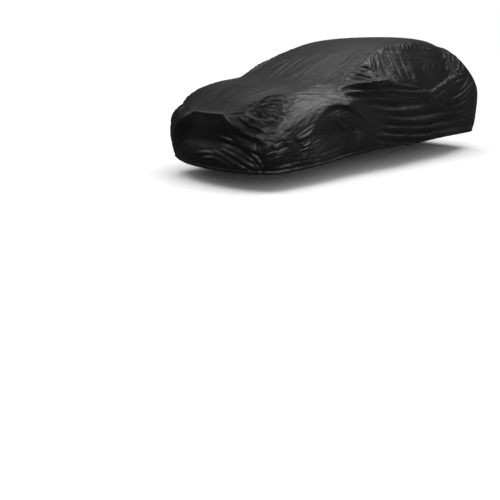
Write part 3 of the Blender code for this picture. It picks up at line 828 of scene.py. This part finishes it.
def make_panel(name, cloth, material):
    """A sheet on a grid of points, with a UV map in metres along its rows and columns."""
    rows, columns = cloth.shape[0] - 1, cloth.shape[1] - 1
    shape = bmesh.new()
    bmesh.ops.create_grid(shape, x_segments=columns, y_segments=rows, size=0.5, calc_uvs=True)
    mesh = bpy.data.meshes.new(name)
    shape.to_mesh(mesh)
    shape.free()
    flat = np.empty(len(mesh.vertices) * 3, np.float32)
    mesh.vertices.foreach_get("co", flat)
    flat = flat.reshape(-1, 3) + 0.5
    i, j = np.rint(flat[:, 1] * rows).astype(int), np.rint(flat[:, 0] * columns).astype(int)
    points = (cloth - REST)[i, j]
    mesh.vertices.foreach_set("co", points.astype(np.float32).ravel())
    mesh.update()
    facet = mesh.polygons[0]
    if facet.normal.dot(facet.center - Vector(WITHIN)) < 0:
        mesh.flip_normals()
    height = np.linalg.norm(np.diff(cloth, axis=0), axis=-1).sum(axis=0).mean()
    length = np.linalg.norm(np.diff(cloth, axis=1), axis=-1).sum(axis=1).mean()
    uv = mesh.uv_layers[0].data if mesh.uv_layers else mesh.uv_layers.new(name="cloth").data
    corners = np.empty(len(mesh.loops), np.int32)
    mesh.loops.foreach_get("vertex_index", corners)
    metres = np.column_stack([j / columns * length, i / rows * height])[corners]
    uv.foreach_set("uv", metres.astype(np.float32).ravel())
    mesh.materials.append(material)
    mesh.shade_smooth()
    panel = bpy.data.objects.new(name, mesh)
    bpy.context.scene.collection.objects.link(panel)
    return panel


# ---------------------------------------------------------------- materials


def link(tree, source, output, target, socket):
    tree.links.new(source.outputs[output], target.inputs[socket])


def polyester():
    """Black silky polyester: a weave and slack creases in the bump, and a faint uneven tone."""
    material = bpy.data.materials.new("black_polyester")
    material.use_nodes = True
    tree = material.node_tree
    new = tree.nodes.new
    shader = tree.nodes["Principled BSDF"]
    shader.inputs["Specular IOR Level"].default_value = 0.5
    shader.inputs["Sheen Weight"].default_value = 0.05
    shader.inputs["Sheen Roughness"].default_value = 0.4

    place = new("ShaderNodeTexCoord")
    blotches = new("ShaderNodeTexNoise")
    blotches.inputs["Scale"].default_value = 3.0
    blotches.inputs["Detail"].default_value = 4.0
    link(tree, place, "Object", blotches, "Vector")

    tone = new("ShaderNodeValToRGB")
    tone.color_ramp.elements[0].position, tone.color_ramp.elements[1].position = 0.3, 0.7
    tone.color_ramp.elements[0].color = (0.0072, 0.0072, 0.0079, 1.0)
    tone.color_ramp.elements[1].color = (0.0118, 0.0116, 0.0124, 1.0)
    link(tree, blotches, "Fac", tone, "Fac")
    link(tree, tone, "Color", shader, "Base Color")

    gloss = new("ShaderNodeMapRange")
    gloss.inputs["From Min"].default_value, gloss.inputs["From Max"].default_value = 0.3, 0.7
    gloss.inputs["To Min"].default_value, gloss.inputs["To Max"].default_value = 0.33, 0.42
    link(tree, blotches, "Fac", gloss, "Value")
    link(tree, gloss, "Result", shader, "Roughness")

    slack = new("ShaderNodeTexNoise")
    slack.noise_type = "RIDGED_MULTIFRACTAL"
    slack.inputs["Scale"].default_value = 26.0
    slack.inputs["Detail"].default_value = 3.0
    link(tree, place, "Object", slack, "Vector")
    creases = new("ShaderNodeBump")
    creases.inputs["Strength"].default_value = 0.4
    creases.inputs["Distance"].default_value = 0.004
    link(tree, slack, "Fac", creases, "Height")

    weave = new("ShaderNodeMath")
    weave.operation = "MAXIMUM"
    for number, direction in enumerate(("X", "Y")):
        yarn = new("ShaderNodeTexWave")
        yarn.bands_direction = direction
        yarn.inputs["Scale"].default_value = 420.0
        yarn.inputs["Distortion"].default_value = 0.6
        link(tree, place, "UV", yarn, "Vector")
        tree.links.new(yarn.outputs["Fac"], weave.inputs[number])
    threads = new("ShaderNodeBump")
    threads.inputs["Strength"].default_value = 0.12
    threads.inputs["Distance"].default_value = 0.0003
    link(tree, weave, "Value", threads, "Height")
    link(tree, creases, "Normal", threads, "Normal")
    link(tree, threads, "Normal", shader, "Normal")
    return material


def pale_floor():
    material = bpy.data.materials.new("pale_floor")
    material.use_nodes = True
    shader = material.node_tree.nodes["Principled BSDF"]
    shader.inputs["Base Color"].default_value = (0.86, 0.86, 0.86, 1.0)
    shader.inputs["Roughness"].default_value = 0.9
    shader.inputs["Specular IOR Level"].default_value = 0.1
    return material


# ---------------------------------------------------------------- the scene


def make_cover():
    cloth = polyester()
    panels = {
        "cover_top": (strip_cloth(), (1.42, 6.35), 7.2),
        "cover_side_left": (side_cloth(1), (1.34, 4.75), 5.2),
        "cover_side_right": (side_cloth(-1), (1.34, 4.75), 5.2),
    }
    for node, (grid, flat, area) in panels.items():
        panel = make_panel(node + "_cloth", grid, cloth)
        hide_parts(node)
        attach(panel, "root")


def make_floor():
    bpy.ops.mesh.primitive_plane_add(size=FLOOR_SIZE, location=(0, 0, -REST[2]))
    floor = bpy.context.object
    floor.name = "floor"
    floor.data.materials.append(pale_floor())
    floor.visible_diffuse = floor.visible_glossy = False
    return floor


def make_sun(name, bearing, elevation, strength, width):
    """A far round light. Bearing, from the nose towards +X, elevation and width are in degrees."""
    light = bpy.data.lights.new(name, "SUN")
    light.energy, light.angle = strength, math.radians(width)
    bearing, elevation = math.radians(bearing), math.radians(elevation)
    level = math.cos(elevation)
    way = Vector((math.sin(bearing) * level, -math.cos(bearing) * level, math.sin(elevation)))
    lamp = bpy.data.objects.new(name, light)
    lamp.rotation_mode = "QUATERNION"
    lamp.rotation_quaternion = (-way).to_track_quat("-Z", "Y")
    bpy.context.scene.collection.objects.link(lamp)
    return lamp


def make_softbox(name, place, size, watts):
    """A round lamp aimed at the front shoulder, where the photograph is lightest."""
    light = bpy.data.lights.new(name, "AREA")
    light.shape, light.size, light.energy = "DISK", size, watts
    place, aim = Vector(place), Vector(SOFTBOX_AIM)
    lamp = bpy.data.objects.new(name, light)
    lamp.location = place - Vector(REST)
    lamp.rotation_mode = "QUATERNION"
    lamp.rotation_quaternion = (aim - place).to_track_quat("-Z", "Y")
    lamp.visible_camera = False
    bpy.context.scene.collection.objects.link(lamp)


def make_world():
    """White to the camera, and a dim even fill for everything else."""
    world = bpy.data.worlds.new("studio")
    bpy.context.scene.world = world
    world.use_nodes = True
    tree = world.node_tree
    fill = tree.nodes["Background"]
    fill.inputs["Color"].default_value = (1.0, 1.0, 1.0, 1.0)
    fill.inputs["Strength"].default_value = 0.03
    white = tree.nodes.new("ShaderNodeBackground")
    white.inputs["Color"].default_value = (1.0, 1.0, 1.0, 1.0)
    ray = tree.nodes.new("ShaderNodeLightPath")
    either = tree.nodes.new("ShaderNodeMixShader")
    link(tree, ray, "Is Camera Ray", either, "Fac")
    tree.links.new(fill.outputs[0], either.inputs[1])
    tree.links.new(white.outputs[0], either.inputs[2])
    link(tree, either, "Shader", tree.nodes["World Output"], "Surface")


def make_lights(floor):
    make_world()
    make_sun("front", 34, 18, 0.80, 36)
    make_sun("side", 86, 18, 0.95, 36)
    make_sun("above", 156, 50, 0.40, 18)
    make_sun("back", -125, 60, 0.32, 36)
    make_sun("low back", -150, 42, 0.07, 36)
    make_sun("left", -60, 40, 0.50, 36)
    make_softbox("low softbox", (1.42, 0.5, 3.05), 2.0, 11.0)
    make_softbox("high softbox", (1.0, -1.0, 2.2), 1.2, 1.6)
    make_softbox("side softbox", (2.2, -1.2, 2.0), 1.8, 20.0)
    ground = bpy.data.collections.new("ground")
    ground.objects.link(floor)
    make_sun("ground", 0, 90, 2.7, 80).light_linking.receiver_collection = ground


def make_camera():
    camera = bpy.data.objects.new("camera", bpy.data.cameras.new("camera"))
    camera.data.sensor_width = SENSOR
    camera.data.lens = SENSOR * FOCAL_LENGTH / PHOTO_SIZE
    camera.location = Vector(EYE) - Vector(REST)
    camera.rotation_mode = "QUATERNION"
    camera.rotation_quaternion = Vector(AHEAD).to_track_quat("-Z", "Y")
    bpy.context.scene.collection.objects.link(camera)
    bpy.context.scene.camera = camera


make_camera()
make_cover()
make_lights(make_floor())
bpy.context.scene.view_settings.view_transform = "Standard"
